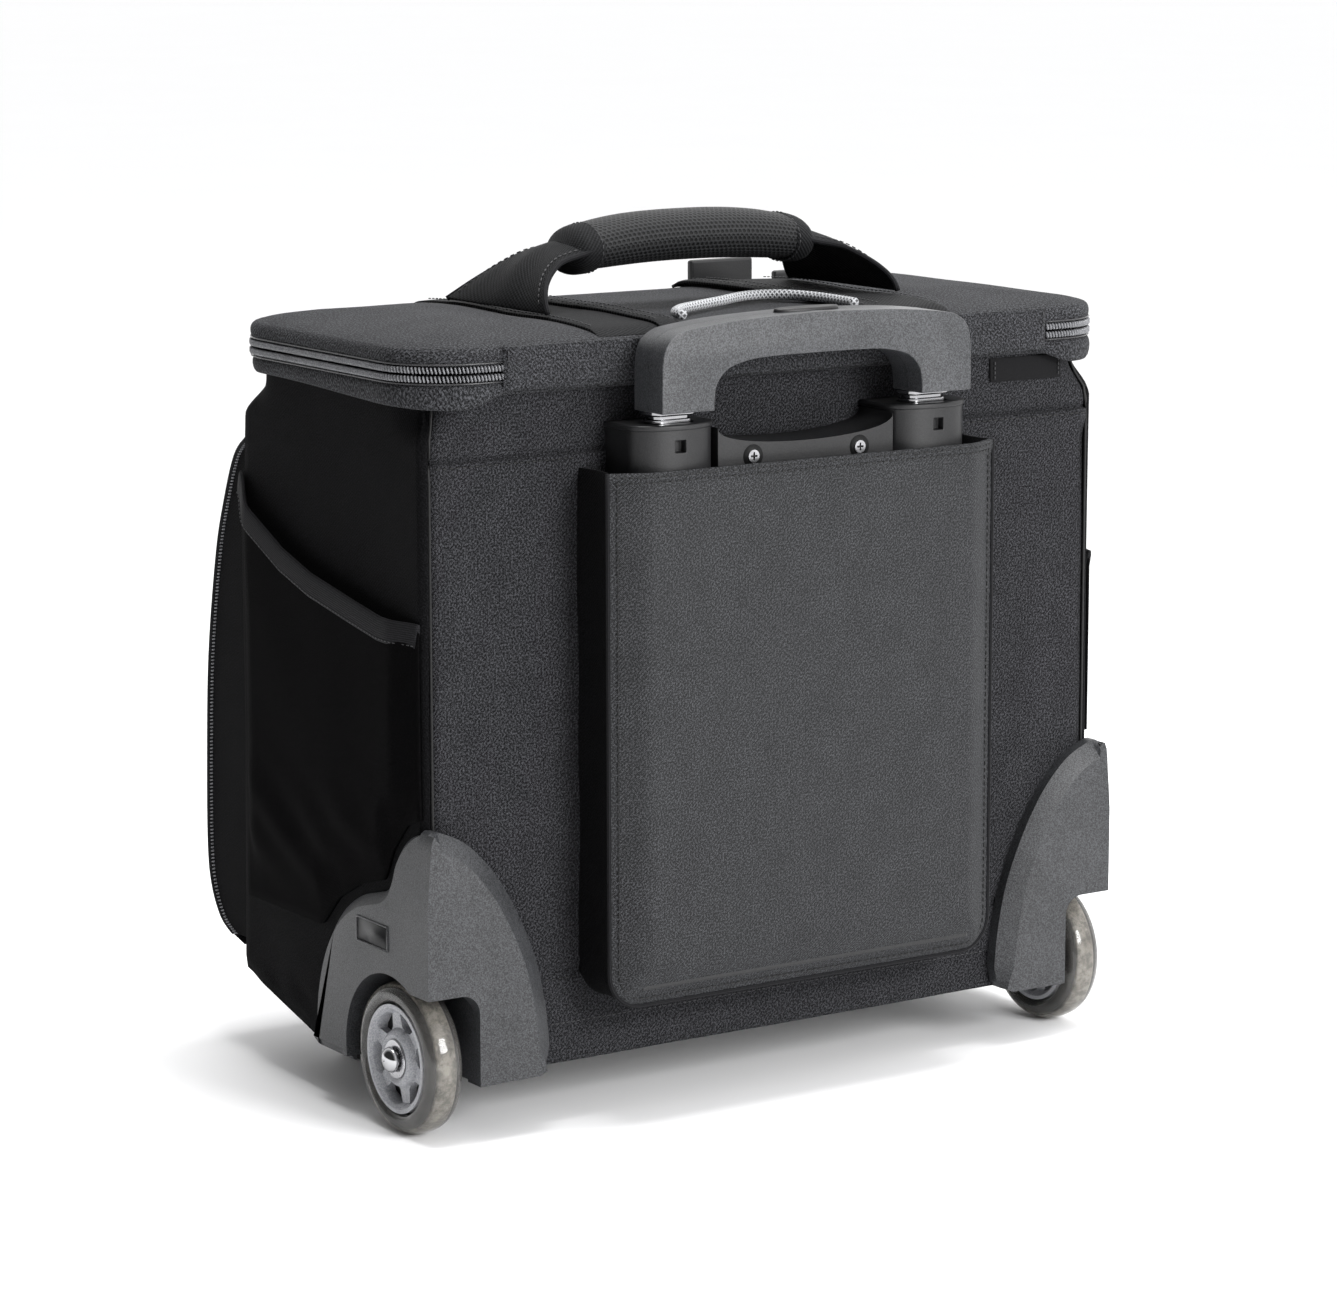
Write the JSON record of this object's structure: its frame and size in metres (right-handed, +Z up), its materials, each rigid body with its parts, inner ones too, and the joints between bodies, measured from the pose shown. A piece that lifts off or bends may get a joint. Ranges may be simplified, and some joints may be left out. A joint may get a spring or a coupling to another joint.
{
  "type": "rolling flight case",
  "caption": "Soft two-wheeled rolling flight case with hinged lid, fold-down front pocket, side pockets, telescopic trolley grip and padded grab handle.",
  "frame": {"origin": "on the floor, under the middle of the bounding box", "axes": "+Z up; +Y towards the trolley handle and wheels at the back; +X to the case's left side as seen from behind"},
  "size_m": [0.433, 0.2796, 0.4415],
  "materials": {
    "twill": "heathered ballistic twill",
    "nylon": "black nylon",
    "stretch": "black stretch nylon",
    "coated": "coated fine-grain fabric",
    "webbing": "ribbed webbing",
    "air_mesh": "air mesh padding",
    "cord": "braided light grey cord",
    "housing_plastic": "fine grain moulding",
    "dark_plastic": "fine grain moulding",
    "clear_tyre": "smoky clear polyurethane",
    "hub": "silver grey moulding",
    "chrome": "bright",
    "aluminium": "drawn",
    "foot_rubber": "matt"
  },
  "bodies": {
    "case": {"back_panel": "twill", "side_panel_left": "nylon", "side_panel_right": "nylon", "front_bulkhead": "nylon", "base_panel": "nylon", "rim_band": "nylon", "padded_divider": "nylon", "blank_tag": "nylon", "front_tray": "nylon", "side_pocket_left": "stretch", "side_pocket_right": "stretch", "pocket_binding_left": "webbing", "pocket_binding_right": "webbing", "trolley_sleeve": "coated", "tube_bracket": "dark_plastic", "outer_tube_left": "aluminium", "outer_tube_right": "aluminium", "tube_collar_left": "dark_plastic", "tube_collar_right": "dark_plastic", "collar_bridge": "dark_plastic", "bridge_screw_left": "chrome", "bridge_screw_right": "chrome", "wheel_housing_left": "housing_plastic", "wheel_housing_right": "housing_plastic", "axle_bolt_left": "chrome", "axle_bolt_right": "chrome", "front_foot_left": "foot_rubber", "front_foot_right": "foot_rubber"},
    "lid": {"lid_panel": "twill", "lid_strap_left": "webbing", "lid_strap_right": "webbing", "grab_strap_left": "webbing", "grab_strap_right": "webbing", "grab_pad": "air_mesh", "cord_loop": "cord"},
    "front_flap": {"front_cover": "nylon"},
    "trolley_middle": {"middle_tube_left": "chrome", "middle_tube_right": "chrome"},
    "trolley_top": {"inner_tube_left": "chrome", "inner_tube_right": "chrome", "grip_front": "housing_plastic", "grip_rear": "housing_plastic"},
    "release": {"release_button": "dark_plastic", "release_fork": "aluminium"},
    "wheel_left": {"tyre_left": "clear_tyre", "hub_left": "hub", "bearing_left": "chrome"},
    "wheel_right": {"tyre_right": "clear_tyre", "hub_right": "hub", "bearing_right": "chrome"},
    "lid_slider_left": {"lid_slider_left": "aluminium"},
    "lid_pull_left": {"lid_pull_left": "dark_plastic"},
    "front_slider_left": {"front_slider_left": "aluminium"},
    "front_pull_left": {"front_pull_left": "dark_plastic"},
    "lid_slider_right": {"lid_slider_right": "aluminium"},
    "lid_pull_right": {"lid_pull_right": "dark_plastic"},
    "front_slider_right": {"front_slider_right": "aluminium"},
    "front_pull_right": {"front_pull_right": "dark_plastic"}
  },
  "joints": [
    {"name": "lid_hinge", "type": "hinge", "parent": "case", "child": "lid", "pos_m": [0, 0.09625, 0.399], "axis": [-1, 0, 0], "range_deg": [0, 65]},
    {"name": "front_flap_hinge", "type": "hinge", "parent": "case", "child": "front_flap", "pos_m": [0, -0.10825, 0.0595], "axis": [1, 0, 0], "range_deg": [0, 90]},
    {"name": "trolley_middle_slide", "type": "slide", "parent": "case", "child": "trolley_middle", "axis": [0, 0, 1], "range_m": [0, 0.21]},
    {"name": "trolley_top_slide", "type": "slide", "parent": "trolley_middle", "child": "trolley_top", "axis": [0, 0, 1], "range_m": [0, 0.21]},
    {"name": "release_press", "type": "slide", "parent": "trolley_top", "child": "release", "axis": [0, 0, -1], "range_m": [0, 0.0025], "stiffness_N_per_m": 500, "springref_m": -0.003},
    {"name": "wheel_spin_left", "type": "hinge", "parent": "case", "child": "wheel_left", "pos_m": [0.2082, 0.07275, 0.038], "axis": [1, 0, 0], "continuous": true},
    {"name": "wheel_spin_right", "type": "hinge", "parent": "case", "child": "wheel_right", "pos_m": [-0.2082, 0.07275, 0.038], "axis": [1, 0, 0], "continuous": true},
    {"name": "lid_zip_left", "type": "slide", "parent": "case", "child": "lid_slider_left", "axis": [1, 0, 0], "range_m": [0, 0.27]},
    {"name": "lid_pull_swing_left", "type": "hinge", "parent": "lid_slider_left", "child": "lid_pull_left", "pos_m": [-0.1125, -0.08455, 0.3865], "axis": [0, 0, -1], "range_deg": [0, 90]},
    {"name": "front_zip_left", "type": "slide", "parent": "case", "child": "front_slider_left", "axis": [1, 0, 0], "range_m": [0, 0.16]},
    {"name": "front_pull_swing_left", "type": "hinge", "parent": "front_slider_left", "child": "front_pull_left", "pos_m": [0.005, -0.07975, 0.3362], "axis": [0, 0, -1], "range_deg": [0, 90]},
    {"name": "lid_zip_right", "type": "slide", "parent": "case", "child": "lid_slider_right", "axis": [-1, 0, 0], "range_m": [0, 0.034]},
    {"name": "lid_pull_swing_right", "type": "hinge", "parent": "lid_slider_right", "child": "lid_pull_right", "pos_m": [-0.1275, -0.08455, 0.3865], "axis": [0, 0, 1], "range_deg": [0, 90]},
    {"name": "front_zip_right", "type": "slide", "parent": "case", "child": "front_slider_right", "axis": [-1, 0, 0], "range_m": [0, 0.16]},
    {"name": "front_pull_swing_right", "type": "hinge", "parent": "front_slider_right", "child": "front_pull_right", "pos_m": [-0.005, -0.07975, 0.3362], "axis": [0, 0, 1], "range_deg": [0, 90]}
  ]
}
